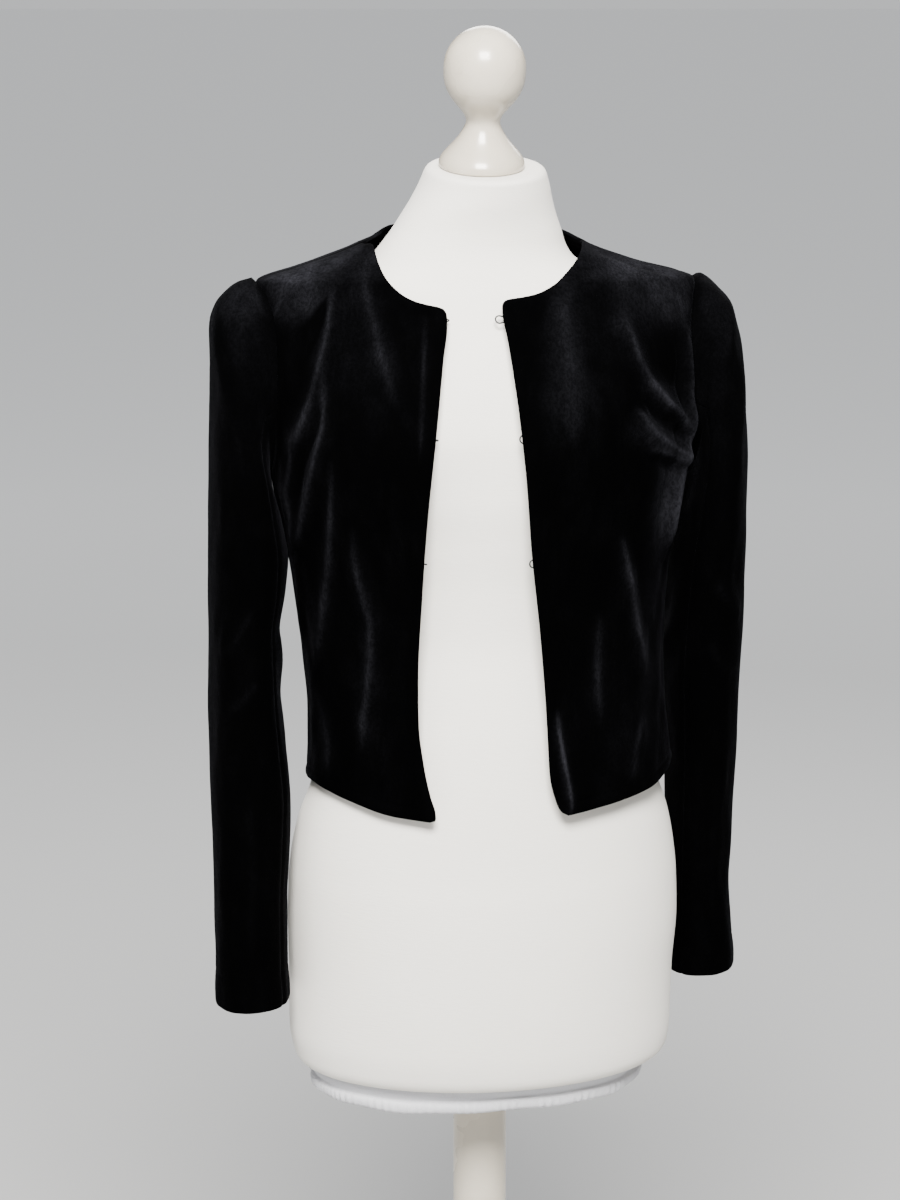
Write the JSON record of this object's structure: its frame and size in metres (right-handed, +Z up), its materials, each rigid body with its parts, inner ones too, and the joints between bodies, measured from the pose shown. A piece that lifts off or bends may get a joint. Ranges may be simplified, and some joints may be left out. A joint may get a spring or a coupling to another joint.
{
  "type": "velvet blazer on a dress form",
  "caption": "Cropped black velvet blazer with an open front, long sleeves and hook and eye fastenings, on a limbless dress form with a turned neck knob, a post and a round base.",
  "frame": {"origin": "middle of the base's underside, on the floor", "axes": "+Z up along the post, +X to the viewer's right, and the blazer's front faces -Y"},
  "size_m": [0.4679, 0.35, 1.4991],
  "materials": {
    "velvet": "short dense pile with a soft bluish-grey sheen",
    "jersey": "fine matt knit",
    "cream_paint": "gloss paint",
    "black_wire": "satin"
  },
  "bodies": {
    "root": {"front_right": "velvet", "front_left": "velvet", "back": "velvet", "top_sleeve_right": "velvet", "top_sleeve_left": "velvet", "under_sleeve_right": "velvet", "under_sleeve_left": "velvet", "hook_1": "black_wire", "hook_2": "black_wire", "hook_3": "black_wire", "eye_1": "black_wire", "eye_2": "black_wire", "eye_3": "black_wire", "form_body": "jersey", "form_hem_band": "jersey", "form_knob": "cream_paint", "form_post": "cream_paint", "form_base": "cream_paint"}
  },
  "joints": []
}
